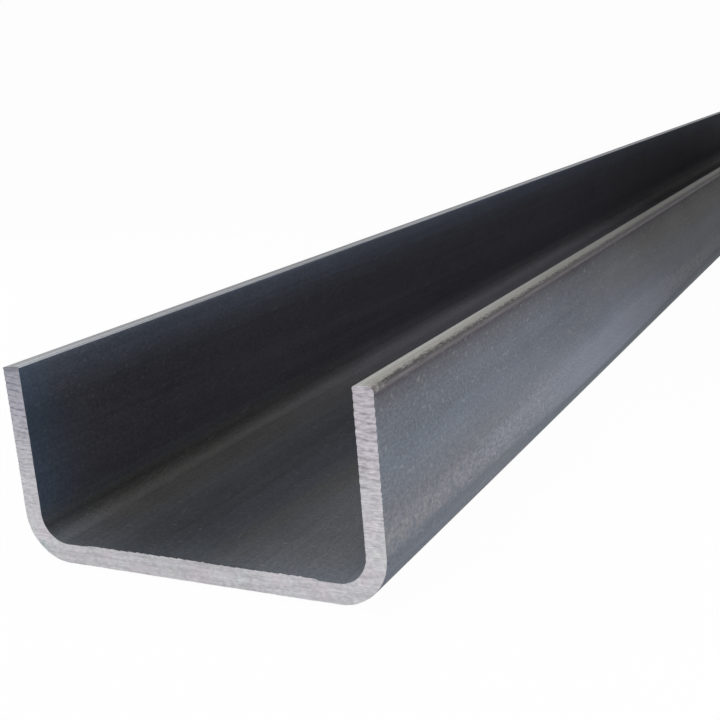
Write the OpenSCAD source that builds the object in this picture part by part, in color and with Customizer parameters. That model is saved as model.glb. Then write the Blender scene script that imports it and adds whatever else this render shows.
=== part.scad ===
// Cold-formed steel channel with equal flanges, sawn square to length.
// The bar lies on its web with the flanges standing up.
// X runs across the section, Y along the bar and Z up.
// The origin is the middle of the footprint, on the underside of the web.

/* [Section] */
// Width over the outsides of the two flanges
section_w = 80; // [50:1:160]
// Height from the underside of the web to the tips of the flanges
flange_h = 40; // [30:1:80]
// Thickness of the strip that the section is bent from
wall = 4; // [3:0.5:6]
// Inside radius of the two bends
bend_inner_r = 6; // [2:0.5:9]

/* [Bar] */
// Length between the two sawn ends
bar_l = 1000; // [250:10:3000]

/* [Slit edges] */
// Radius that the slitting blade rolled over on the outer corner of the right flange's tip
right_rollover_r = 1.4; // [0.3:0.1:1.8]
// Radius that the slitting blade rolled over on the inner corner of the left flange's tip
left_rollover_r = 0.3; // [0.3:0.1:1.8]
// Width of the smooth sheared band beside each rolled-over corner
shear_w = 1; // [0.4:0.1:1.1]
// How far the torn band slopes down from the sheared band to the tip's other corner
tear_drop = 0.3; // [0.1:0.05:0.4]

/* [Hidden] */
$fn = 96;

// The strip bends about one centre, so the outside radius follows the inside one.
bend_outer_r = bend_inner_r + wall;
// How far a cutting shape runs past the face that it cuts
overrun = 1;

mill_scale = [0.33, 0.34, 0.36];

// A trough outline, w wide and h high, standing on y = 0 with its two lower corners rounded by r.
module trough_outline(w, h, r) {
    translate([-w / 2, r]) square([w, h - r]);
    translate([-w / 2 + r, 0]) square([w - 2 * r, h]);
    for (side = [-1, 1])
        translate([side * (w / 2 - r), r]) circle(r);
}

// What slitting takes off a square tip, whose left corner is at [0, 0] with its metal below.
// The blade rolls the right corner over and shears a level band, and the rest tears off in a slope.
module slit_waste(rollover_r) {
    // rolled-over corner
    translate([wall - rollover_r, -rollover_r])
        difference() {
            square(rollover_r + overrun);
            circle(rollover_r);
        }
    // torn band, which slopes down to the left corner
    tear_w = wall - rollover_r - shear_w;
    slope = tear_drop / tear_w;
    polygon([
        [-overrun, -tear_drop - overrun * slope],
        [tear_w, 0],
        [tear_w, overrun],
        [-overrun, overrun]
    ]);
}

// The section across the bar: the bent strip, less what slitting took off its two edges.
module section() {
    difference() {
        trough_outline(section_w, flange_h, bend_outer_r);
        translate([0, wall])
            trough_outline(section_w - 2 * wall, flange_h, bend_inner_r);
        translate([-section_w / 2, flange_h])
            slit_waste(left_rollover_r);
        translate([section_w / 2 - wall, flange_h])
            slit_waste(right_rollover_r);
    }
}

// The whole bar: one piece of strip, bent twice and sawn at both ends.
module channel() {
    color(mill_scale)
        rotate([90, 0, 0])
            linear_extrude(height = bar_l, center = true)
                section();
}

channel();
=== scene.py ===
"""Looks of a cold-formed steel channel: strip in its mill scale, with slit edges, bent twice and sawn square.

The bar is one closed mesh. Every point of it has a place in the flat strip that the bar was bent from:
s runs down the left flange, across the web and up the right flange along the middle of the wall,
u runs outwards through the wall, and y runs along the bar. All three are in millimetres.
"""

import math

import bpy
import numpy as np
from mathutils import Matrix, Vector


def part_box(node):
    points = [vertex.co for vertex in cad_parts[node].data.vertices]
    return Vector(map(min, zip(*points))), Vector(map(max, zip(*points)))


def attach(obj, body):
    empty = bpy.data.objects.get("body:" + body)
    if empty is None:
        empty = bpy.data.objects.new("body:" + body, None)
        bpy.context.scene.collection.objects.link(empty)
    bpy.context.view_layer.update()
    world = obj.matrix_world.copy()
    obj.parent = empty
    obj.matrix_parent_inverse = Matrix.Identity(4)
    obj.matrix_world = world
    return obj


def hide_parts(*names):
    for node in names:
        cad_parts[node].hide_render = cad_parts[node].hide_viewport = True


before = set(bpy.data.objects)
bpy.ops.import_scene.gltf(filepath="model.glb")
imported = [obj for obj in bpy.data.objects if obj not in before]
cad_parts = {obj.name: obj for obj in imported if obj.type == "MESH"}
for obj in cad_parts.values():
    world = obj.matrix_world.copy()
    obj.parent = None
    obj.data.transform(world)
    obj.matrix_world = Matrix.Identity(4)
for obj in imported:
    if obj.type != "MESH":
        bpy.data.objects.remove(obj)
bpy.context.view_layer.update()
low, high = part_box("channel")

MM = 0.001
WIDTH, LENGTH, HEIGHT = (high - low) / MM

# These repeat the part's source, in millimetres.
WALL = 4.0
BEND = 8.0  # radius of both bends at the middle of the wall
RIGHT_ROLLOVER = 1.4
LEFT_ROLLOVER = 0.3
SHEARED = 1.0
TORN_DROP = 0.3

FLANGE = HEIGHT - BEND - WALL / 2
WEB = WIDTH - 2 * BEND - WALL
ARC = BEND * math.pi / 2
GIRTH = 2 * FLANGE + 2 * ARC + WEB

# How finely the bar is meshed: steps along the girth and through the wall, the cross rows next to each cut
# in mm from it, and the steps from the last of them to the middle
ALONG_GIRTH = 720
THROUGH_WALL = 20
END_ROWS = (0.0, 0.12, 0.3, 0.6, 1.1, 1.9, 3.0)
MIDDLE_STEPS = 47

TIP_REACH = 6.0  # how far below a tip the wall's grid still follows its outline
EDGE_REACH = 0.45  # how far along the bar the broken edges of a cut reach
BUMP = 0.06  # height of the finest relief in the finishes
COOLANT_SPOT = (-36.6, -LENGTH / 2, 3.4)  # on the near end, at the left bend


# ---------------------------------------------------------------- camera

# Place and focal length in mm, angles in degrees
CAMERA_PLACE = (120.877, -658.086, 88.503)
CAMERA_HEADING, CAMERA_DOWN, CAMERA_ROLL = 27.702, 13.8907, -4.6592
FOCAL_LENGTH = 57.0572

camera_data = bpy.data.cameras.new("camera")
camera_data.lens = FOCAL_LENGTH
camera_data.clip_start = 0.01
camera = bpy.data.objects.new("camera", camera_data)
bpy.context.scene.collection.objects.link(camera)
camera.matrix_world = (
    Matrix.Translation([c * MM for c in CAMERA_PLACE])
    @ Matrix.Rotation(math.radians(CAMERA_HEADING), 4, "Z")
    @ Matrix.Rotation(math.radians(90 - CAMERA_DOWN), 4, "X")
    @ Matrix.Rotation(math.radians(CAMERA_ROLL), 4, "Z")
)
bpy.context.scene.camera = camera
bpy.context.scene.view_settings.view_transform = "Standard"


# ---------------------------------------------------------------- the strip and its bends


def lattice(a, b, seed):
    """Smooth noise from -1 to 1: a seeded random value at every whole a and b, eased between neighbours
    by 3t^2 - 2t^3 in both directions."""
    table = np.random.default_rng(seed).uniform(-1, 1, (256, 256))
    a0 = np.floor(a).astype(int)
    b0 = np.floor(b).astype(int)
    ta = a - a0
    tb = b - b0
    ta = ta * ta * (3 - 2 * ta)
    tb = tb * tb * (3 - 2 * tb)
    near = table[a0 % 256, b0 % 256] * (1 - ta) + table[(a0 + 1) % 256, b0 % 256] * ta
    far = table[a0 % 256, (b0 + 1) % 256] * (1 - ta) + table[(a0 + 1) % 256, (b0 + 1) % 256] * ta
    return near * (1 - tb) + far * tb


def ease(value, start, end):
    """0 before start, 1 after end, and 3t^2 - 2t^3 between them."""
    t = np.clip((value - start) / (end - start), 0, 1)
    return t * t * (3 - 2 * t)


def bow(s, y):
    """How far the rolls left the wall standing in from its true place, 0 to 0.24 mm: two sizes of slow noise,
    about 45 by 210 mm and 17 by 75 mm."""
    slow = lattice(s / 45, y / 210, 11)
    quick = lattice(s / 17, y / 75, 12)
    return 0.12 + 0.09 * slow + 0.03 * quick


def bent(s, u, y):
    """Bends the strip. The middle line goes straight down, turns a quarter circle, crosses, turns another
    quarter and goes straight up. A point stands u off it, square to it. The wall is bowed in by bow."""
    u = u - bow(s, y)
    left = np.clip((s - FLANGE) / BEND, 0, np.pi / 2)
    right = np.clip((s - FLANGE - ARC - WEB) / BEND, 0, np.pi / 2)
    down = np.minimum(s, FLANGE)
    across = np.clip(s - FLANGE - ARC, 0, WEB)
    up = np.maximum(s - GIRTH + FLANGE, 0)
    x = WALL / 2 - WIDTH / 2 + BEND * (1 - np.cos(left)) + across + BEND * np.sin(right)
    z = HEIGHT - down - BEND * np.sin(left) + BEND * (1 - np.cos(right)) + up
    turn = left + right
    return np.stack([x - u * np.cos(turn), y, z - u * np.sin(turn)], -1)


def slit_tip(t, rollover):
    """The outline of a slit tip, t from 0 at its torn corner to 1 at its rolled-over corner: a slope, then a
    level band, then a quarter circle. Returns how far across the wall it is and how far below the top."""
    torn = WALL - rollover - SHEARED
    run = t * (torn + SHEARED + rollover * np.pi / 2)
    angle = np.clip((run - torn - SHEARED) / rollover, 0, np.pi / 2)
    across = np.clip(run, 0, torn + SHEARED) + rollover * np.sin(angle)
    below = TORN_DROP * (1 - np.clip(run / torn, 0, 1)) + rollover * (1 - np.cos(angle))
    return across, below


# ---------------------------------------------------------------- the saw cut


def saw_turns(x, z, end):
    """How many marks the saw has left below a point of one end. The marks are about 0.7 mm apart low on a
    flange and up to 1.9 mm apart higher up. They fall to the right across the wall, on the right flange
    mostly in its inner half, and wander with slow noise."""
    height = np.linspace(0, HEIGHT + 2, 421)
    step = height[1] - height[0]
    right_pitch = np.interp(height, [0, 21, 23, 27, 34, 42], [0.7, 0.7, 1.85, 1.75, 1.45, 1.5])
    left_pitch = np.interp(height, [0, 26, 29, 42], [0.85, 0.9, 1.25, 1.3])
    through = (np.abs(x) - WIDTH / 2 + WALL / 2) * np.sign(x)
    right_fall = 0.45 * ease(through, -2.2, -0.2) * np.interp(z, [16, 26], [0.3, 1]) + 0.03 * through
    left_fall = through * np.interp(z, [26, 34, 38], [0.02, 0.14, 0.06])
    wander = 0.1 * lattice(x / 1.5 + 20 * end, z / 1.7, 21) + 0.2 * lattice(x / 5, z / 7 + 20 * end, 22)
    right = np.interp(z + right_fall + wander, height, np.cumsum(step / right_pitch))
    left = np.interp(z + left_fall + wander, height, np.cumsum(step / left_pitch))
    return np.where(x > 0, right, left)


def saw_marks(x, z, end):
    """Depth of the saw's marks below the foremost ridges, in mm, on one end. The blade ran level, so they are
    narrow level furrows, (0.5 - 0.5 cos(2 pi turns))^4, with shallower ones between them, both broken into
    lens shapes by noise, and all deepest at the tips. On the web only fine scratches are left."""
    turns = saw_turns(x, z, end)
    inwards = WIDTH / 2 - WALL / 2 - np.abs(x)
    furrow = (0.5 - 0.5 * np.cos(2 * np.pi * turns)) ** 4
    between = 0.7 * lattice(x / 1.2, z / 2.5 + 20 * end, 26)
    between = (0.5 - 0.5 * np.cos(4 * np.pi * turns + np.pi + 3 * between)) ** 3
    lens = np.clip(0.75 + 0.7 * lattice(x / 1.1 + 50 * end, z / 0.9, 23), 0.1, 1.5)
    lens_between = np.clip(0.5 + 0.9 * lattice(x / 0.9 + 60 * end, z / 0.7, 27), 0, 1.5)
    strength = ease(z, 5, 12) * (0.35 + 0.65 * ease(z, 15, 30)) * np.where(x > 0, 0.68, 0.85)
    inner_half = 1 + inwards * np.where(x > 0, np.interp(z, [20, 34, 38], [0.02, 0.06, 0.18]), 0.0)
    marks = strength * (0.12 * lens * inner_half * furrow + 0.07 * lens_between * between)
    scratch = 1 + lattice(x / 6 + 9 * end, (z - 0.0012 * x**2) / 0.4, 24)
    scratch = 0.03 * scratch * (1 - 0.7 * ease(z, 5, 12))
    grain = 0.03 * (1 + lattice(x / 0.6 + 70 * end, z / 0.4, 25))
    return marks + scratch + grain


def notches(s, outer, end):
    """How far the blade broke the cut's edge back towards the middle of the wall, in mm: a scallop at each
    saw mark, deepest on the right flange's outer edge, and noise everywhere."""
    place = bent(s, 0 * s + (WALL / 2 if outer else -WALL / 2), 0 * s)
    x, z = place[..., 0], place[..., 2]
    scallop = (0.5 - 0.5 * np.cos(2 * np.pi * saw_turns(x, z, end))) ** 1.5
    size = ease(z, 8, 20) * np.where((x > 0) & outer, 0.15, 0.05)
    rough = 0.03 * (1 + lattice(s / 0.9, 7 * end + 0 * s, 31 + outer))
    return size * scallop * (0.8 + 0.3 * lattice(s / 2.3, 7 * end + 0.4 + 0 * s, 37)) + rough


def burr(s, end):
    """Height of the burr that the blade pushed up from the web's inner edge, in mm: a low wall with teeth
    about 2 mm apart, each high at its left and falling to its right. It stops short at both inner bends."""
    x = s - GIRTH / 2
    wall = 0.2 + 0.06 * lattice(s / 6, 5 * end + 0 * s, 33)
    place = s / 1.9 + 0.45 * lattice(s / 2.6, 5 * end + 0.3 + 0 * s, 35)
    tooth = (0.1 + 0.22 * np.abs(lattice(np.floor(place), 5 * end + 0.5 + 0 * s, 34))) * (1 - place % 1)
    rough = 0.04 * lattice(s / 0.35, 5 * end + 0.7 + 0 * s, 36)
    return (wall + tooth + rough) * ease(x, -26.5, -23) * (1 - ease(x, 25.6, 26.2))


# ---------------------------------------------------------------- the bar's mesh

OUTER, RIGHT_TIP, INNER, LEFT_TIP, NEAR_CUT, FAR_CUT = range(6)
# The section's border starts at the left tip's outer corner. These are the places of its other three corners.
CORNERS = ALONG_GIRTH, ALONG_GIRTH + THROUGH_WALL, 2 * ALONG_GIRTH + THROUGH_WALL
MAP_SIDE = 640.0  # millimetres of skin across the bake map


def section_grid():
    """The cut face as a grid of s and u, along the girth and through the wall. Both tips' outlines fade into
    even lines over TIP_REACH."""
    i = np.linspace(0, 1, ALONG_GIRTH + 1)[:, None]
    j = np.linspace(0, 1, THROUGH_WALL + 1)[None, :]
    even = WALL * (j - 0.5)
    across, below = slit_tip(1 - j, LEFT_ROLLOVER)
    left_u, left_s = WALL / 2 - across, below
    across, below = slit_tip(j, RIGHT_ROLLOVER)
    right_u, right_s = across - WALL / 2, below
    s = i * GIRTH
    to_left = np.clip(1 - s / TIP_REACH, 0, 1) ** 2
    to_right = np.clip(1 - (GIRTH - s) / TIP_REACH, 0, 1) ** 2
    u = even + (left_u - even) * to_left + (right_u - even) * to_right
    s = s + left_s * to_left - right_s * to_right
    return s, u


def around(grid):
    """A grid's border in order: outer skin, right tip, inner skin back, left tip."""
    return np.concatenate([grid[:, -1], grid[-1, -2::-1], grid[-2::-1, 0], grid[0, 1:-1]])


def kept_columns():
    """Which points of the border carry on along the bar: all those on the tips, one in four round the bends
    and near the tips, and one in fifteen on the flats."""
    s = np.linspace(0, GIRTH, ALONG_GIRTH + 1)
    near_bend = np.abs(np.abs(s - GIRTH / 2) - WEB / 2 - ARC / 2) < ARC / 2 + 0.5
    near_tip = np.minimum(s, GIRTH - s) < 2.5
    step = np.where(near_bend | near_tip, 4, 15)
    index = np.arange(ALONG_GIRTH + 1)
    skin = (index % step == 0) | (index == ALONG_GIRTH)
    tip = np.ones(THROUGH_WALL, bool)
    return np.flatnonzero(np.concatenate([skin, tip[:-1], skin[::-1], tip[:-1]]))


def bar_rows():
    """Places of the cross rows along the bar, close together at both ends and wider towards the middle."""
    middle = LENGTH / 2
    first = np.array(END_ROWS)
    rest = first[-1] + (middle - first[-1]) * np.linspace(0, 1, MIDDLE_STEPS + 1)[1:] ** 1.5
    half = np.concatenate([first, rest])
    return np.concatenate([half - middle, middle - half[-2::-1]])


def skin_relief(ring_s, ring_u, rows, outer, inner):
    """The y and u of every swept point, with the relief of both cuts in them, and the marks' depth on the
    cuts' edges. The depth of the marks fades out over the end rows, and the notches and the burr over
    EDGE_REACH."""
    y = np.repeat(rows[:, None], len(ring_s), 1)
    u = np.repeat(ring_u[None], len(rows), 0)
    groove = np.zeros_like(y)
    flat = bent(ring_s, ring_u, 0 * ring_s)
    for end, edge, way in ((0, 0, 1), (1, -1, -1)):
        depth = saw_marks(flat[:, 0], flat[:, 2], end)
        inwards = np.abs(rows - rows[edge])[:, None]
        y = y + way * depth * np.clip(1 - inwards / END_ROWS[-1], 0, 1)
        sharp = np.clip(1 - inwards / EDGE_REACH, 0, 1) ** 1.5
        u = u - sharp * notches(ring_s, True, end) * outer
        u = u + sharp * notches(ring_s, False, end) * inner
        u = u - sharp * burr(ring_s, end) * inner
        groove = groove + depth * (inwards == 0)
    return y, u, groove


def swept_faces(number, keep, side):
    """The skin's faces and the patch of each: quads between the full rows near both cuts, quads between the
    kept columns further in, and where they meet one row of triangles that fan from the kept points to the
    full border. number is every point's number by row and column, and side is each column's patch."""
    count, size = number.shape
    fine = len(END_ROWS)
    faces, patches = [], []
    middle_block = number[fine : count - fine][:, keep]
    for block, of_column in ((number[:fine], side), (number[-fine:], side), (middle_block, side[keep])):
        ahead = np.roll(block, -1, 1)
        quads = np.stack([block[:-1], block[1:], ahead[1:], ahead[:-1]], -1)
        faces.append(quads.reshape(-1, 4))
        patches.append(np.broadcast_to(of_column, quads.shape[:2]).ravel())

    # each kept point's fan reaches half way to the next one, where a closing triangle fills the gap
    gap = np.diff(np.append(keep, size))
    owner = np.repeat(np.arange(len(keep)), gap)
    half_way = keep + gap // 2
    apex = np.where(np.arange(size) < half_way[owner], keep[owner], np.append(keep, keep[0])[owner + 1])
    for full_row, kept_row, order in ((fine - 1, fine, 1), (count - fine, count - fine - 1, -1)):
        full, kept = number[full_row], number[kept_row]
        fans = np.stack([full, kept[apex], np.roll(full, -1)], -1)
        closers = np.stack([full[half_way], kept[keep], np.roll(kept[keep], -1)], -1)
        faces.append(np.concatenate([fans, closers])[:, ::order])
        patches.append(np.concatenate([side, side[keep]]))
    return faces, patches


def cut_face(s, u, y, way, border, first, end):
    """A cut face at y, with the saw's marks sunk into it way along the bar. border holds the point numbers
    of the skin's edge round it, and its own points are numbered from first. Returns their places in the
    strip, the marks' depth there and the quads."""
    flat = bent(s, u, 0 * s)
    depth = saw_marks(flat[..., 0], flat[..., 2], end)
    inside = (slice(1, -1), slice(1, -1))
    places = np.stack([s, u, y + way * depth], -1)[inside].reshape(-1, 3)
    grid = np.zeros(s.shape, int)
    grid[inside] = first + np.arange(len(places)).reshape(grid[inside].shape)
    grid[:, -1] = border[: CORNERS[0] + 1]
    grid[-1, :] = border[CORNERS[0] : CORNERS[1] + 1][::-1]
    grid[:, 0] = border[CORNERS[1] : CORNERS[2] + 1][::-1]
    grid[0, :-1] = border[CORNERS[2] :]
    quads = np.stack([grid[:-1, :-1], grid[:-1, 1:], grid[1:, 1:], grid[1:, :-1]], -1).reshape(-1, 4)
    return places, depth[inside].ravel(), quads[:, ::way]


def build_bar():
    """Sweeps the section's border along the bar, closes it with the two cut faces and writes the mesh."""
    s, u = section_grid()
    ring_s, ring_u = around(s), around(u)
    index = np.arange(len(ring_s))
    side = np.digitize(index, CORNERS)
    outer = index <= CORNERS[0]
    inner = (index >= CORNERS[1]) & (index <= CORNERS[2])
    rows = bar_rows()
    y, skin_u, groove = skin_relief(ring_s, ring_u, rows, outer, inner)
    number = np.arange(y.size).reshape(y.shape)
    strip = [np.stack([np.broadcast_to(ring_s, y.shape), skin_u, y], -1).reshape(-1, 3)]
    grooves = [groove.ravel()]
    faces, patches = swept_faces(number, kept_columns(), side)
    for end, row, way, patch in ((0, 0, 1, NEAR_CUT), (1, -1, -1, FAR_CUT)):
        first = sum(map(len, strip))
        places, depth, quads = cut_face(s, u, rows[row], way, number[row], first, end)
        strip.append(places)
        grooves.append(depth)
        faces.append(quads)
        patches.append(np.full(len(quads), patch))

    # how far each point is across its tip, from 0 to 1
    tip_run = np.zeros(sum(map(len, strip)))
    across = np.where(index <= CORNERS[1], index - CORNERS[0], len(index) - index) / THROUGH_WALL
    tip_run[: y.size] = np.tile(np.clip(across, 0, 1), len(rows))
    sizes = np.concatenate([np.full(len(f), f.shape[1]) for f in faces])
    used, corners = np.unique(np.concatenate([f.ravel() for f in faces]), return_inverse=True)
    strip, grooves, patches = map(np.concatenate, (strip, grooves, patches))
    return write_mesh(strip[used], corners, sizes, patches, grooves[used], tip_run[used])


def map_places(strip, tip_run, patch, far):
    """Where each face corner lies on the bake map, as a share of a square of MAP_SIDE: both skins in two
    half-lengths, one above the other, then the tips, spread to tip_height, and the cut faces in columns at
    the side, 10 times as wide as they are and 4.2 times as long."""
    s, u, y = strip.T
    gap = 2.0
    half = LENGTH / 2
    along = gap + np.where(far, y, y + half)
    band = GIRTH + gap
    skins = gap + s + band * (2 * (patch == INNER) + far)
    tip_height = 11.0
    tips = gap + 4 * band + tip_run * tip_height + (tip_height + 1.5) * (2 * (patch == LEFT_TIP) + far)
    on_tip = (patch == RIGHT_TIP) | (patch == LEFT_TIP)
    on_cut = patch >= NEAR_CUT
    cut_left = half + 3 * gap + 70 * (patch == FAR_CUT)
    across = np.where(on_cut, cut_left + 10 * (u + WALL / 2 + 0.5), along)
    upward = np.where(on_cut, gap + 4.2 * s, np.where(on_tip, tips, skins))
    return np.stack([across, upward], -1) / MAP_SIDE


def write_mesh(strip, corners, sizes, patches, grooves, tip_run):
    """Bends the strip's points and puts the arrays into one mesh, with the strip places and the marks'
    depth as attributes and the bake map as its UV map."""
    mesh = bpy.data.meshes.new("steel_channel")
    starts = np.concatenate([[0], np.cumsum(sizes)[:-1]])
    mesh.vertices.add(len(strip))
    mesh.vertices.foreach_set("co", (bent(*strip.T) * MM).ravel())
    mesh.loops.add(len(corners))
    mesh.loops.foreach_set("vertex_index", corners)
    mesh.polygons.add(len(sizes))
    mesh.polygons.foreach_set("loop_start", starts)
    finish = np.array([0, 1, 0, 1, 2, 2])[patches]  # mill scale, slit edge or sawn end
    mesh.polygons.foreach_set("material_index", finish)
    mesh.update(calc_edges=True)
    mesh.shade_smooth()
    mesh.set_sharp_from_angle(angle=math.radians(55))
    mesh.attributes.new("strip_mm", "FLOAT_VECTOR", "POINT").data.foreach_set("vector", strip.ravel())
    mesh.attributes.new("groove_mm", "FLOAT", "POINT").data.foreach_set("value", grooves)
    middle_y = np.add.reduceat(strip[corners, 2], starts) / sizes
    face = np.repeat(np.arange(len(sizes)), sizes)
    places = map_places(strip[corners], tip_run[corners], patches[face], middle_y[face] > 0)
    mesh.uv_layers.new(name="OFBake").data.foreach_set("uv", places.ravel())
    bar = bpy.data.objects.new("steel_channel", mesh)
    bpy.context.scene.collection.objects.link(bar)
    return bar


# ---------------------------------------------------------------- finishes


def linear(code):
    """An sRGB hex colour as linear red, green, blue and alpha."""
    parts = [int(code[i : i + 2], 16) / 255 for i in (1, 3, 5)]
    return [p / 12.92 if p <= 0.04045 else ((p + 0.055) / 1.055) ** 2.4 for p in parts] + [1.0]


def add(tree, kind, inputs=None, **settings):
    """Adds one node. settings are its properties, and inputs gives sockets by name or number a value, another
    node's output, or another node, which stands for its first output."""
    made = tree.nodes.new(kind)
    for name, value in settings.items():
        setattr(made, name, value)
    for name, value in (inputs or {}).items():
        if isinstance(value, bpy.types.Node):
            value = value.outputs[0]
        if isinstance(value, bpy.types.NodeSocket):
            tree.links.new(value, made.inputs[name])
        else:
            made.inputs[name].default_value = value
    return made


def new_material(name):
    """An empty node material."""
    made = bpy.data.materials.new(name)
    made.use_nodes = True
    made.node_tree.nodes.clear()
    return made


def ramp(tree, value, places):
    """A curve through pairs of a value and what it becomes, straight between them: the way a finish changes
    over a distance in mm."""
    first, last = places[0][0], places[-1][0]
    top = max(level for _, level in places)
    span = add(tree, "ShaderNodeMapRange", {"Value": value, "From Min": first, "From Max": last})
    made = add(tree, "ShaderNodeValToRGB", {0: span})
    stops = made.color_ramp.elements
    for at, _ in places[1:-1]:
        stops.new((at - first) / (last - first))
    for stop, (_, level) in zip(stops, places):
        stop.color = (level / top, level / top, level / top, 1)
    return add(tree, "ShaderNodeMath", {0: made, 1: top}, operation="MULTIPLY")


def strip_place(tree):
    """The strip's own coordinates in mm: s across it, u through it and y along it."""
    place = add(tree, "ShaderNodeAttribute", attribute_name="strip_mm")
    return add(tree, "ShaderNodeSeparateXYZ", {0: place.outputs["Vector"]})


def bar_place(tree):
    """The bent bar's coordinates in mm."""
    place = add(tree, "ShaderNodeTexCoord").outputs["Object"]
    return add(tree, "ShaderNodeVectorMath", {0: place, 3: 1 / MM}, operation="SCALE")


def off_middle(tree):
    """Distance along the girth from the middle of the web, in mm: |s - girth / 2|."""
    side = add(tree, "ShaderNodeMath", {0: strip_place(tree), 1: GIRTH / 2}, operation="SUBTRACT")
    return add(tree, "ShaderNodeMath", {0: side}, operation="ABSOLUTE")


def from_end(tree):
    """Distance from the nearer sawn end, in mm: length / 2 - |y|."""
    y = add(tree, "ShaderNodeMath", {0: strip_place(tree).outputs[2]}, operation="ABSOLUTE")
    return add(tree, "ShaderNodeMath", {0: LENGTH / 2, 1: y}, operation="SUBTRACT")


def strip_noise(tree, across, along, seed, detail=2.0, lean=0.0):
    """Noise laid on the flat strip, from 0 to 1, with features across mm wide and along mm long. lean
    slants them: each mm along moves them lean mm across. The two skins are far apart in it, so they
    differ."""
    at = strip_place(tree)
    slant = add(tree, "ShaderNodeMath", {0: at.outputs[2], 1: lean, 2: at}, operation="MULTIPLY_ADD")
    moved = add(tree, "ShaderNodeCombineXYZ", {0: slant, 1: at.outputs[1], 2: at.outputs[2]})
    scaled = add(
        tree,
        "ShaderNodeVectorMath",
        {0: moved, 1: (1 / across, 3.7, 1 / along), 2: (seed * 17.3, seed * 5.9, seed * 29.1)},
        operation="MULTIPLY_ADD",
    )
    settings = {"Vector": scaled, "Scale": 1.0, "Detail": detail, "Roughness": 0.55}
    return add(tree, "ShaderNodeTexNoise", settings)


def cut_noise(tree, across, up, seed, detail):
    """Noise laid on the sawn ends, from 0 to 1, with features across mm wide and up mm high."""
    scaled = add(
        tree,
        "ShaderNodeVectorMath",
        {0: bar_place(tree), 1: (1 / across, 0.2, 1 / up), 2: (seed * 13.1, seed * 7.7, seed * 3.9)},
        operation="MULTIPLY_ADD",
    )
    return add(tree, "ShaderNodeTexNoise", {"Vector": scaled, "Scale": 1.0, "Detail": detail})


def roll_press(tree):
    """How hard the forming roll pressed, 0 to 1. A roll of 200 mm that runs slightly out of true presses
    hardest once a turn: the square of cos(y / 100 mm + 3.5) where that is above 0."""
    y = strip_place(tree).outputs[2]
    turn = add(tree, "ShaderNodeMath", {0: y, 1: 0.01, 2: 3.5}, operation="MULTIPLY_ADD")
    turn = add(tree, "ShaderNodeMath", {0: turn}, operation="COSINE")
    turn = add(tree, "ShaderNodeMath", {0: turn, 1: 0.0}, operation="MAXIMUM")
    return add(tree, "ShaderNodeMath", {0: turn, 1: turn}, operation="MULTIPLY")


def rubbed_bands(tree, height, level, press, outside):
    """The bands that the rolls rubbed just above both outer bends, 0 to 1. Their lower side follows height
    and their upper one level, and they are wider and more solid where the roll pressed hardest."""
    upper = add(tree, "ShaderNodeMath", {0: press, 1: -2.5, 2: level}, operation="MULTIPLY_ADD")
    upper = ramp(tree, upper, ((10, 1.0), (14, 1.0), (16.5, 0.5), (20, 0.15), (26, 0.0)))
    lower = add(tree, "ShaderNodeMath", {0: press, 1: 2.2, 2: height}, operation="MULTIPLY_ADD")
    lower = ramp(tree, lower, ((9.5, 0.0), (10.7, 0.8), (12.5, 1.0)))
    band = add(tree, "ShaderNodeMath", {0: upper, 1: lower}, operation="MULTIPLY")
    band = add(tree, "ShaderNodeMath", {0: band, 1: outside}, operation="MULTIPLY")
    worn = strip_noise(tree, 0.7, 1.3, 9, 2.0)
    worn = add(tree, "ShaderNodeMapRange", {"Value": worn, "From Min": 0.25, "From Max": 0.65})
    worn = add(tree, "ShaderNodeMath", {0: worn, 1: press}, operation="MAXIMUM")
    return add(tree, "ShaderNodeMath", {0: band, 1: worn}, operation="MULTIPLY")


def painted_light_by_ends(tree, wander, inside):
    """Painted light on the inner skin, 0 to 1, where light comes in at the open ends. It fades over about 25
    mm beside the cuts, with an edge that wanders, and a weaker one fades over 12 mm below the left tip."""
    spread = add(tree, "ShaderNodeMath", {0: wander, 1: 12.0, 2: from_end(tree)}, operation="MULTIPLY_ADD")
    end_light = ramp(tree, spread, ((7, 0.9), (10, 0.7), (15, 0.35), (22, 0.12), (32, 0.0)))
    by_tip = ramp(tree, strip_place(tree), ((0, 0.5), (5, 0.35), (12, 0.0)))
    end_light = add(tree, "ShaderNodeMath", {0: end_light, 1: by_tip}, operation="MAXIMUM")
    return add(tree, "ShaderNodeMath", {0: end_light, 1: inside}, operation="MULTIPLY")


def browned(tree, height, away, inside, outside):
    """How far the blue-grey scale has turned brown-grey, 0 to 1: in long patches, stronger on the inner skin,
    where the forming tools worked the inner skin, and high on the outer skin away from the ends."""
    patches = strip_noise(tree, 11, 90, 2, 2.0)
    most = add(tree, "ShaderNodeMix", {0: outside, 2: 0.8, 3: 0.2})
    patches = add(
        tree, "ShaderNodeMapRange", {"Value": patches, "From Min": 0.5, "From Max": 0.64, "To Max": most}
    )
    places = (28, 0.0), (34, 1.0), (44, 1.0), (56, 0.3), (75, 0.1), (84, 0.5), (98, 0.7), (104, 0.2)
    worked = ramp(tree, strip_place(tree), places)
    worked = add(tree, "ShaderNodeMath", {0: worked, 1: inside}, operation="MULTIPLY")
    plain = ramp(tree, height, ((18, 0.0), (32, 1.0)))
    plain = add(tree, "ShaderNodeMath", {0: plain, 1: away}, operation="MULTIPLY")
    plain = add(tree, "ShaderNodeMath", {0: plain, 1: outside}, operation="MULTIPLY")
    brown = add(tree, "ShaderNodeMath", {0: patches, 1: worked}, operation="MAXIMUM")
    return add(tree, "ShaderNodeMath", {0: brown, 1: plain}, operation="MAXIMUM")


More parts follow.
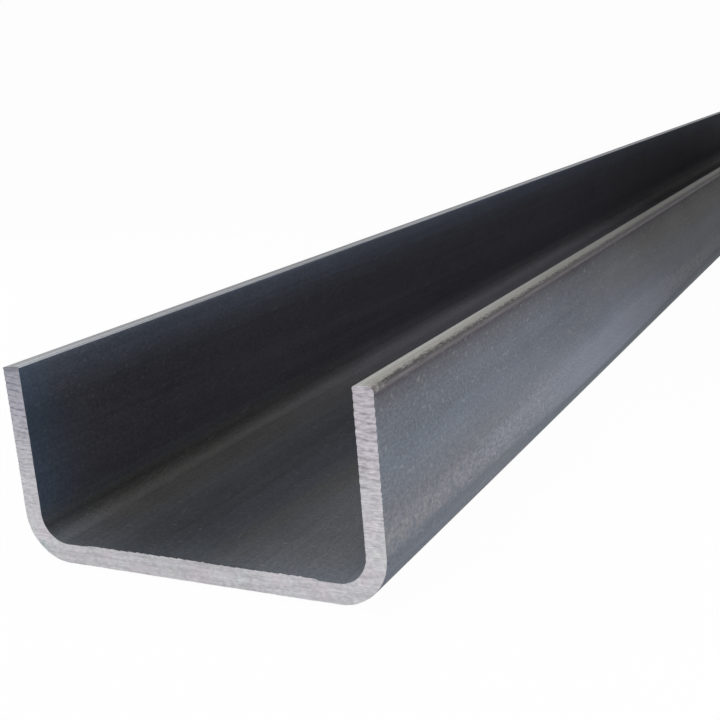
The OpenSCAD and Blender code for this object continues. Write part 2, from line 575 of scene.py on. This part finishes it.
def inner_painted_shading(tree, off, on_flange):
    """Painted light and shade on the inner skin, as a factor. Across the strip it is darkest, by painted
    shade, where the left flange runs into its bend, and lighter, by painted light, on the bends and towards
    the right one. Along the bar, as a painted falloff of light, the left flange is lightest about 270 mm from
    the near end and the bends about 200 mm from it."""
    places = (0, 1.25), (2.5, 1.1), (7, 0.96), (15, 1.03), (21, 1.2), (26, 1.2), (30, 1.13), (32, 0.78)
    places = places + ((34, 0.42), (36, 0.62), (38, 0.98), (40, 1.14), (42, 1.04), (50, 1.07), (58, 0.84))
    places = places + ((73, 0.85), (80, 1.05), (88, 1.32), (96, 1.4), (102, 1.2), (112, 1.0))
    across = ramp(tree, strip_place(tree), places)
    y = strip_place(tree).outputs[2]
    places = (-500, 0.67), (-455, 0.68), (-400, 0.85), (-230, 0.9), (-80, 0.74), (120, 0.42), (500, 0.5)
    flange_painted_light = add(tree, "ShaderNodeMix", {0: on_flange, 2: 1.0, 3: ramp(tree, y, places)})
    places = (-500, 1.3), (-474, 0.98), (-440, 0.95), (-380, 1.35), (-300, 1.55), (-160, 1.35), (20, 0.25)
    bends_painted_light = ramp(tree, y, places + ((500, 0.32),))
    on_bend = ramp(tree, off, ((20, 0.0), (32, 1.0), (38, 1.0), (42, 0.0)))
    bends_painted_light = add(tree, "ShaderNodeMix", {0: on_bend, 2: 1.0, 3: bends_painted_light})
    painted_tone = add(tree, "ShaderNodeMath", {0: across, 1: flange_painted_light}, operation="MULTIPLY")
    return add(tree, "ShaderNodeMath", {0: painted_tone, 1: bends_painted_light}, operation="MULTIPLY")


def outer_painted_shading(tree, off, height, away):
    """Painted shade on the outer skin, as a factor. It is darker low on the bends, and over the whole flange
    away from the ends, where less light reaches."""
    places = (30, 0.88), (34, 0.9), (37, 1.0), (39.5, 1.1), (42, 1.0), (50, 1.0), (56, 1.1), (62, 1.02)
    across = ramp(tree, off, places + ((66, 0.97),))
    painted_falloff = ramp(tree, height, ((8, 0.06), (16, 0.2), (24, 0.2), (32, 0.25)))
    painted_falloff = add(tree, "ShaderNodeMath", {0: painted_falloff, 1: away}, operation="MULTIPLY")
    painted_falloff = add(tree, "ShaderNodeMath", {0: 1.0, 1: painted_falloff}, operation="SUBTRACT")
    return add(tree, "ShaderNodeMath", {0: across, 1: painted_falloff}, operation="MULTIPLY")


def fine_marks(tree, off, inside):
    """Small light marks, 0 to 0.5. The inner skin has scratches, thin lines that lean a little and show
    only where a coarser noise is high, and short nicks across the web. Both skins have specks."""
    scratch = strip_noise(tree, 0.2, 9, 6, 0.0, 0.22)
    scratch = add(tree, "ShaderNodeMapRange", {"Value": scratch, "From Min": 0.72, "From Max": 0.8})
    patch = strip_noise(tree, 9, 14, 7, 1.0)
    patch = add(tree, "ShaderNodeMapRange", {"Value": patch, "From Min": 0.54, "From Max": 0.62})
    scratch = add(tree, "ShaderNodeMath", {0: scratch, 1: patch}, operation="MULTIPLY")
    nick = strip_noise(tree, 2.0, 0.6, 10, 0.0, 0.5)
    nick = add(tree, "ShaderNodeMapRange", {"Value": nick, "From Min": 0.76, "From Max": 0.88, "To Max": 0.7})
    on_web = ramp(tree, off, ((24, 1.0), (30, 0.0)))
    nick = add(tree, "ShaderNodeMath", {0: nick, 1: on_web}, operation="MULTIPLY")
    mark = add(tree, "ShaderNodeMath", {0: scratch, 1: nick}, operation="MAXIMUM")
    mark = add(tree, "ShaderNodeMath", {0: mark, 1: inside}, operation="MULTIPLY")
    speck = strip_noise(tree, 0.75, 1.3, 8, 0.0)
    most = add(tree, "ShaderNodeMix", {0: inside, 2: 0.4, 3: 0.3})
    speck = add(
        tree, "ShaderNodeMapRange", {"Value": speck, "From Min": 0.66, "From Max": 0.88, "To Max": most}
    )
    mark = add(tree, "ShaderNodeMath", {0: mark, 1: speck}, operation="MAXIMUM")
    return add(tree, "ShaderNodeMath", {0: mark, 1: 0.5}, operation="MULTIPLY")


def mill_scale():
    """Mill scale on hot-rolled strip: a hard skin of dark blue-grey iron oxide, half matt, with a fine
    pepper of lighter flecks. The forming rolls rubbed it lighter just above both outer bends, coiling and
    handling left lengthwise streaks and a few scratches, and it is brown and dull along the slit edges."""
    made = new_material("mill_scale_on_rolled_strip")
    tree = made.node_tree
    at = strip_place(tree)
    outside = add(tree, "ShaderNodeMath", {0: at.outputs[1], 1: 0.0}, operation="GREATER_THAN")
    inside = add(tree, "ShaderNodeMath", {0: 1.0, 1: outside}, operation="SUBTRACT")
    off = off_middle(tree)
    height = add(tree, "ShaderNodeMath", {0: off, 1: HEIGHT - GIRTH / 2}, operation="ADD")
    away = ramp(tree, from_end(tree), ((90, 0.0), (180, 0.8), (280, 1.0)))
    # the inside of the left flange, as far as its bend
    on_flange = ramp(tree, at, ((27, 1.0), (33, 0.0)))
    on_flange = add(tree, "ShaderNodeMath", {0: on_flange, 1: inside}, operation="MULTIPLY")

    cloud = strip_noise(tree, 16, 55, 1, 3.0)
    streak = strip_noise(tree, 1.3, 95, 3, 2.0)
    fleck = strip_noise(tree, 0.5, 0.85, 4, 1.0)
    mottle = strip_noise(tree, 4, 8, 15, 3.0)
    wander = strip_noise(tree, 40, 32, 5, 3.0)

    # height with a slow wander of 1.6 mm up and down, which the rubbed bands and the dull zones follow
    level = add(tree, "ShaderNodeMath", {0: wander, 1: 3.2, 2: -1.6}, operation="MULTIPLY_ADD")
    level = add(tree, "ShaderNodeMath", {0: height, 1: level}, operation="ADD")
    press = roll_press(tree)
    rub = rubbed_bands(tree, height, level, press, outside)
    # painted light: the inner skin is lighter and bluer beside the open ends and below the left tip
    end_light = painted_light_by_ends(tree, wander, inside)
    # the dull brown zones along the slit edges, on the outer skin
    dull = ramp(tree, level, ((31.5, 0.0), (34.5, 0.2), (37.0, 0.5), (38.0, 0.8), (38.8, 1.0)))
    dull = add(tree, "ShaderNodeMath", {0: dull, 1: outside}, operation="MULTIPLY")

    # colour: blue-grey to brown-grey; purple-grey inside the left flange, and on its bend too further in;
    # greyer where rubbed, and lighter and bluer again where the roll pressed hardest
    brown = browned(tree, height, away, inside, outside)
    purple = ramp(tree, at, ((27, 1.0), (44, 1.0), (50, 0.0)))
    further_in = ramp(tree, from_end(tree), ((60, 0.0), (150, 0.8)))
    purple = add(tree, "ShaderNodeMath", {0: purple, 1: further_in}, operation="MULTIPLY")
    purple = add(tree, "ShaderNodeMath", {0: purple, 1: inside}, operation="MULTIPLY")
    purple = add(tree, "ShaderNodeMath", {0: purple, 1: on_flange}, operation="MAXIMUM")
    blue_grey, brown_grey, purple_grey = map(linear, ("#61666f", "#686766", "#66646c"))
    rubbed, pressed_hard = map(linear, ("#7a7a7d", "#838895"))
    # the lighter, bluer colours of the painted light beside the open ends, on the web and on the left flange
    lit_web_colour, lit_flange_colour = map(linear, ("#70757c", "#647489"))
    rubbed = add(tree, "ShaderNodeMix", {0: press, 6: rubbed, 7: pressed_hard}, data_type="RGBA").outputs[2]
    lit_colour = add(tree, "ShaderNodeMix", {0: on_flange, 6: lit_web_colour, 7: lit_flange_colour}, data_type="RGBA")
    colour = add(tree, "ShaderNodeMix", {0: brown, 6: blue_grey, 7: brown_grey}, data_type="RGBA").outputs[2]
    for share, other in (
        (purple, purple_grey),
        (rub, rubbed),
        (dull, linear("#464348")),
        (end_light, lit_colour.outputs[2]),
    ):
        colour = add(tree, "ShaderNodeMix", {0: share, 6: colour, 7: other}, data_type="RGBA").outputs[2]

    # lightness: a factor that each noise swings about 1, by one amount on the inner skin and one on the outer
    light = 1.0
    for noise, on_inner, on_outer in (
        (cloud, 0.36, 0.36),
        (streak, 0.34, 0.24),
        (fleck, 0.7, 0.9),
        (mottle, 0.26, 0.14),
    ):
        swing = add(tree, "ShaderNodeMath", {0: noise, 1: 0.5}, operation="SUBTRACT")
        amount = add(tree, "ShaderNodeMix", {0: outside, 2: on_inner, 3: on_outer})
        light = add(tree, "ShaderNodeMath", {0: swing, 1: amount, 2: light}, operation="MULTIPLY_ADD")
    # painted light and shade on both skins, across the strip and along the bar
    inner = inner_painted_shading(tree, off, on_flange)
    outer = outer_painted_shading(tree, off, height, away)
    painted_tone = add(tree, "ShaderNodeMix", {0: outside, 2: inner, 3: outer})
    light = add(tree, "ShaderNodeMath", {0: light, 1: painted_tone}, operation="MULTIPLY")
    tinted = add(tree, "ShaderNodeVectorMath", {0: colour, 3: light}, operation="SCALE")
    mark = fine_marks(tree, off, inside)
    marked = add(tree, "ShaderNodeMix", {0: mark, 6: tinted, 7: linear("#a6a6a6")}, data_type="RGBA")

    rough = add(tree, "ShaderNodeMapRange", {"Value": cloud, "To Min": 0.66, "To Max": 0.54})
    rough = add(tree, "ShaderNodeMath", {0: rub, 1: -0.08, 2: rough}, operation="MULTIPLY_ADD")
    relief = add(tree, "ShaderNodeMath", {0: streak, 1: 0.5, 2: fleck}, operation="MULTIPLY_ADD")
    bump = add(tree, "ShaderNodeBump", {"Strength": 0.5, "Distance": BUMP * MM, "Height": relief})
    surface = add(
        tree,
        "ShaderNodeBsdfPrincipled",
        {
            "Base Color": marked.outputs[2],
            "Metallic": 0.5,
            "Roughness": rough,
            "Specular IOR Level": 0.15,
            "Specular Tint": (0.3, 0.3, 0.3, 1),
            "Normal": bump,
        },
    )
    add(tree, "ShaderNodeOutputMaterial", {"Surface": surface})
    return made


def scale_on_edge(tree, past, right, ends, waves):
    """The scale that the slitting blade pulled over the rolled corner of an edge. Returns how much of it
    covers a point, 0 to 0.95, which ends in a ragged line and is wiped away beside the cuts, and a painted
    highlight on the right edge's rolled corner, a thin lighter line 1.2 to 1.4 mm past the level band."""
    reach = add(tree, "ShaderNodeMath", {0: right, 1: 1.4, 2: 0.3}, operation="MULTIPLY_ADD")
    ragged = strip_noise(tree, 0.9, 1.4, 11, 3.0)
    over = add(tree, "ShaderNodeMath", {0: ragged, 1: 0.5}, operation="SUBTRACT")
    over = add(tree, "ShaderNodeMath", {0: over, 1: reach, 2: past}, operation="MULTIPLY_ADD")
    over = add(tree, "ShaderNodeMath", {0: right, 1: 0.4, 2: over}, operation="MULTIPLY_ADD")
    wiped = ramp(tree, ends, ((0, 0.3), (9, 0.0)))
    over = add(tree, "ShaderNodeMath", {0: over, 1: wiped}, operation="SUBTRACT")
    cover = {"Value": over, "From Min": 0.65, "From Max": 1.4, "To Max": 0.95}
    cover = add(tree, "ShaderNodeMapRange", cover)
    rim_highlight = ramp(tree, past, ((1.2, 0.0), (1.3, 1.0), (1.38, 0.0)))
    rim_highlight = add(tree, "ShaderNodeMath", {0: rim_highlight, 1: right}, operation="MULTIPLY")
    whole = add(tree, "ShaderNodeMapRange", {"Value": waves, "From Min": 0.35, "From Max": 0.6})
    return cover, add(tree, "ShaderNodeMath", {0: rim_highlight, 1: whole}, operation="MULTIPLY")


def slit_edge():
    """The strip's slit edge: bare steel, torn and matt over one part, sheared and smoother over the rest,
    with the skin of scale pulled over the rolled corner and ending there in a ragged line."""
    made = new_material("slit_steel_edge")
    tree = made.node_tree
    at = strip_place(tree)

    # how far a point is past the level band, in mm across the edge from its torn corner to its rolled one
    right = add(tree, "ShaderNodeMath", {0: at, 1: GIRTH / 2}, operation="GREATER_THAN")
    way = add(tree, "ShaderNodeMath", {0: right, 1: 2.0, 2: -1.0}, operation="MULTIPLY_ADD")
    run = add(tree, "ShaderNodeMath", {0: at.outputs[1], 1: way, 2: WALL / 2}, operation="MULTIPLY_ADD")
    band_end = {0: right, 2: WALL - LEFT_ROLLOVER, 3: WALL - RIGHT_ROLLOVER}
    band_end = add(tree, "ShaderNodeMix", band_end)
    past = add(tree, "ShaderNodeMath", {0: run, 1: band_end}, operation="SUBTRACT")

    waves = strip_noise(tree, 60, 7, 12, 2.0)
    fine = strip_noise(tree, 0.35, 0.5, 13, 2.0)
    drag = strip_noise(tree, 0.25, 16, 14, 2.0)
    ends = from_end(tree)

    # torn to sheared, about a millimetre before the roll, on a wavy line
    wavy = add(tree, "ShaderNodeMath", {0: waves, 1: 1.2, 2: past}, operation="MULTIPLY_ADD")
    sheared = add(tree, "ShaderNodeMapRange", {"Value": wavy, "From Min": -0.55, "From Max": -0.2})
    torn = {0: right, 6: linear("#a2a3a6"), 7: linear("#c0c0bd")}
    torn = add(tree, "ShaderNodeMix", torn, data_type="RGBA").outputs[2]
    smooth = {0: right, 6: linear("#c5c8cd"), 7: linear("#bab9b3")}
    smooth = add(tree, "ShaderNodeMix", smooth, data_type="RGBA").outputs[2]
    bare = add(tree, "ShaderNodeMix", {0: sheared, 6: torn, 7: smooth}, data_type="RGBA").outputs[2]

    # painted light and shade: the edges are lighter beside the ends, and the right one grows darker further
    # in, where less light reaches
    left_painted_falloff = ramp(tree, ends, ((0, 1.2), (20, 1.1), (60, 1.03), (120, 0.95), (200, 1.1), (500, 1.15)))
    right_painted_falloff = ramp(tree, ends, ((0, 1.18), (2, 1.03), (45, 0.98), (100, 0.7), (200, 0.37), (500, 0.35)))
    edge_painted_falloff = add(tree, "ShaderNodeMix", {0: right, 2: left_painted_falloff, 3: right_painted_falloff})
    light = add(tree, "ShaderNodeMath", {0: fine, 1: 0.5, 2: 0.6}, operation="MULTIPLY_ADD")
    light = add(tree, "ShaderNodeMath", {0: drag, 1: 0.3, 2: light}, operation="MULTIPLY_ADD")
    light = add(tree, "ShaderNodeMath", {0: light, 1: edge_painted_falloff}, operation="MULTIPLY")
    bare = add(tree, "ShaderNodeVectorMath", {0: bare, 3: light}, operation="SCALE")
    cover, rim_highlight = scale_on_edge(tree, past, right, ends, waves)
    # the scale's colour, with a painted highlight along the rim of the right edge's rolled corner
    scale = add(tree, "ShaderNodeMix", {0: rim_highlight, 6: linear("#4e4a4e"), 7: linear("#6a676d")}, data_type="RGBA")
    colour = add(tree, "ShaderNodeMix", {0: cover, 6: bare, 7: scale.outputs[2]}, data_type="RGBA").outputs[2]

    rough = add(tree, "ShaderNodeMapRange", {"Value": sheared, "To Min": 0.62, "To Max": 0.5})
    relief = add(tree, "ShaderNodeMath", {0: drag, 1: 0.6, 2: fine}, operation="MULTIPLY_ADD")
    bump = add(tree, "ShaderNodeBump", {"Strength": 0.6, "Distance": BUMP * MM, "Height": relief})
    surface = add(
        tree,
        "ShaderNodeBsdfPrincipled",
        {
            "Base Color": colour,
            "Metallic": 0.5,
            "Roughness": rough,
            "Specular IOR Level": 0.15,
            "Specular Tint": (0.5, 0.5, 0.5, 1),
            "Normal": bump,
        },
    )
    add(tree, "ShaderNodeOutputMaterial", {"Surface": surface})
    return made


def sawn_end():
    """A band-sawn end: bright steel, matt from the blade's fine scoring, with painted shade in each saw mark
    and towards the left flange's tip, and faint pinkish and greenish tints where the coolant dried."""
    made = new_material("band_sawn_steel")
    tree = made.node_tree
    girth = strip_place(tree)
    height = add(tree, "ShaderNodeSeparateXYZ", {0: bar_place(tree)}).outputs[2]
    upright = ramp(tree, height, ((5, 0.0), (12, 1.0)))

    # long scores on the web and short dashes up the flanges
    scoring = cut_noise(tree, 9.0, 0.22, 1, 2.0)
    dashes = cut_noise(tree, 1.5, 0.22, 5, 2.0)
    scoring = add(tree, "ShaderNodeMix", {0: upright, 2: scoring, 3: dashes})
    grain = cut_noise(tree, 0.6, 0.24, 2, 1.0)

    # pinkish in patches and on the upper third
    tint = cut_noise(tree, 5.0, 6.0, 3, 2.0)
    pinkish = add(tree, "ShaderNodeMapRange", {"Value": tint, "From Min": 0.36, "From Max": 0.6})
    upper_third = ramp(tree, height, ((22, 0.0), (31, 1.0)))
    # a greenish spot of dried coolant on the left bend
    spot = add(tree, "ShaderNodeVectorMath", {0: bar_place(tree), 1: COOLANT_SPOT}, operation="DISTANCE")
    spot = {0: grain, 1: 2.5, 2: spot.outputs["Value"]}
    spot = add(tree, "ShaderNodeMath", spot, operation="MULTIPLY_ADD")
    spot = ramp(tree, spot, ((1.2, 0.55), (2.6, 0.0)))
    # painted shade makes the left flange's end darker and bluer towards its tip
    left_painted_shade = ramp(tree, girth, ((0, 1.0), (12, 0.6), (27, 0.15), (36, 0.0)))
    # painted shade in the bottom of each saw mark, darker with its depth
    groove = add(tree, "ShaderNodeAttribute", attribute_name="groove_mm").outputs["Fac"]
    groove_painted_shade = {"Value": groove, "From Min": 0.04, "From Max": 0.17, "To Max": 0.75}
    groove_painted_shade = add(tree, "ShaderNodeMapRange", groove_painted_shade)
    shade = {0: left_painted_shade, 6: linear("#86848d"), 7: linear("#757584")}
    shade = add(tree, "ShaderNodeMix", shade, data_type="RGBA")
    colour = linear("#d7d8da")
    for share, other in (
        (pinkish, linear("#d9d5db")),
        (upper_third, linear("#dad3dc")),
        (spot, linear("#8fbcae")),
        (left_painted_shade, linear("#b0b1bb")),
        (groove_painted_shade, shade.outputs[2]),
    ):
        colour = add(tree, "ShaderNodeMix", {0: share, 6: colour, 7: other}, data_type="RGBA").outputs[2]

    # lightness: scores and grain, stronger up the flanges, and painted shade at places round the girth
    contrast = add(tree, "ShaderNodeMath", {0: upright, 1: 0.45, 2: 0.45}, operation="MULTIPLY_ADD")
    light = add(tree, "ShaderNodeMath", {0: scoring, 1: 0.5}, operation="SUBTRACT")
    light = add(tree, "ShaderNodeMath", {0: light, 1: contrast, 2: 0.76}, operation="MULTIPLY_ADD")
    light = add(tree, "ShaderNodeMath", {0: grain, 1: 0.34, 2: light}, operation="MULTIPLY_ADD")
    places = (0.3, 0.62), (0.7, 0.75), (1.2, 0.95), (4, 1.0), (27, 1.03), (60, 0.9), (100, 1.0), (118, 0.97)
    girth_painted_shade = ramp(tree, girth, places + ((145, 0.88),))
    light = add(tree, "ShaderNodeMath", {0: light, 1: girth_painted_shade}, operation="MULTIPLY")
    tinted = add(tree, "ShaderNodeVectorMath", {0: colour, 3: light}, operation="SCALE")

    relief = add(tree, "ShaderNodeMath", {0: grain, 1: 0.5, 2: scoring}, operation="MULTIPLY_ADD")
    bump = add(tree, "ShaderNodeBump", {"Strength": 0.5, "Distance": BUMP * MM, "Height": relief})
    surface = add(
        tree,
        "ShaderNodeBsdfPrincipled",
        {"Base Color": tinted, "Metallic": 0.8, "Roughness": 0.5, "Normal": bump},
    )
    add(tree, "ShaderNodeOutputMaterial", {"Surface": surface})
    return made


bar = build_bar()
for finish in (mill_scale(), slit_edge(), sawn_end()):
    bar.data.materials.append(finish)
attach(bar, "root")
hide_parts("channel")


# ---------------------------------------------------------------- floor, world and lamps


def white_where_seen(tree, surface, white, share):
    """Mixes a share of plain white into what camera, glossy and transmitted rays meet, and leaves the light
    that falls on the object alone."""
    ray = add(tree, "ShaderNodeLightPath").outputs
    seen = {0: ray["Is Camera Ray"], 1: ray["Is Glossy Ray"]}
    seen = add(tree, "ShaderNodeMath", seen, operation="MAXIMUM")
    seen = add(tree, "ShaderNodeMath", {0: seen, 1: ray["Is Transmission Ray"]}, operation="MAXIMUM")
    part = add(tree, "ShaderNodeMath", {0: seen, 1: share}, operation="MULTIPLY")
    return add(tree, "ShaderNodeMixShader", {0: part, 1: surface, 2: white})


def pale_stage():
    """A matt pale floor that curves up into a low round wall: its profile, a level line, a quarter circle
    and an upright one, is turned about the vertical axis through the bar's middle. It lies 0.3 mm below the
    bar."""
    reach, cove, top = 4.0, 0.5, 2.1
    turn = np.linspace(0, 2 * np.pi, 97)[:-1]
    bend = np.linspace(0, np.pi / 2, 13)
    radius = np.concatenate([[0.01, 1.5], reach - cove + cove * np.sin(bend), [reach]])
    height = np.concatenate([[0, 0], cove - cove * np.cos(bend), [top]]) + low.z - 0.0003
    x, y = np.outer(radius, np.cos(turn)), np.outer(radius, np.sin(turn))
    points = np.stack([x, y, np.repeat(height[:, None], len(turn), 1)], -1)
    number = np.arange(x.size).reshape(x.shape)
    ahead = np.roll(number, -1, 1)
    quads = np.stack([number[:-1], number[1:], ahead[1:], ahead[:-1]], -1).reshape(-1, 4)
    mesh = bpy.data.meshes.new("stage_floor")
    mesh.from_pydata(points.reshape(-1, 3).tolist(), [], quads.tolist() + [number[0].tolist()])
    mesh.shade_smooth()
    stage = bpy.data.objects.new("stage_floor", mesh)
    bpy.context.scene.collection.objects.link(stage)
    made = new_material("matt_pale_floor")
    tree = made.node_tree
    matt = add(tree, "ShaderNodeBsdfDiffuse", {"Color": linear("#f0f0f0")})
    white = add(tree, "ShaderNodeEmission", {"Color": (1, 1, 1, 1), "Strength": 1.0})
    add(tree, "ShaderNodeOutputMaterial", {"Surface": white_where_seen(tree, matt, white, 0.975)})
    mesh.materials.append(made)


def pale_world(light):
    """An even pale room that lights the object at the level given."""
    world = bpy.data.worlds.new("pale_room")
    world.use_nodes = True
    tree = world.node_tree
    tree.nodes.clear()
    room = add(tree, "ShaderNodeBackground", {"Color": (1, 1, 1, 1), "Strength": light})
    add(tree, "ShaderNodeOutputWorld", {"Surface": room})
    bpy.context.scene.world = world


def soft_lamp(name, place, aim, side, level):
    """A square soft box at place, turned towards aim, all in mm. level is the light it gives at aim, as a
    share of what makes a white card look white there: its power is pi * pi * distance^2 * level."""
    data = bpy.data.lights.new(name, "AREA")
    data.shape = "SQUARE"
    data.size = side * MM
    lamp = bpy.data.objects.new(name, data)
    start = np.array(place) * MM
    reach = np.array(aim) * MM - start
    data.energy = level * math.pi**2 * float(reach @ reach)
    bpy.context.scene.collection.objects.link(lamp)
    turn = Vector(reach).to_track_quat("-Z", "Y").to_matrix().to_4x4()
    lamp.matrix_world = Matrix.Translation(start) @ turn
    lamp.visible_camera = False


pale_stage()
pale_world(0.15)
soft_lamp("low_right", (220, -445, 30), (40, -445, 20), 70, 0.95)
soft_lamp("left", (-500, -450, 350), (0, -450, 20), 400, 0.55)
soft_lamp("upper_front", (0, -800, 350), (0, -480, 20), 200, 0.2)
soft_lamp("front_right", (250, -900, 120), (0, -500, 20), 200, 0.2)
soft_lamp("overhead", (50, -300, 900), (0, -300, 20), 500, 0.18)
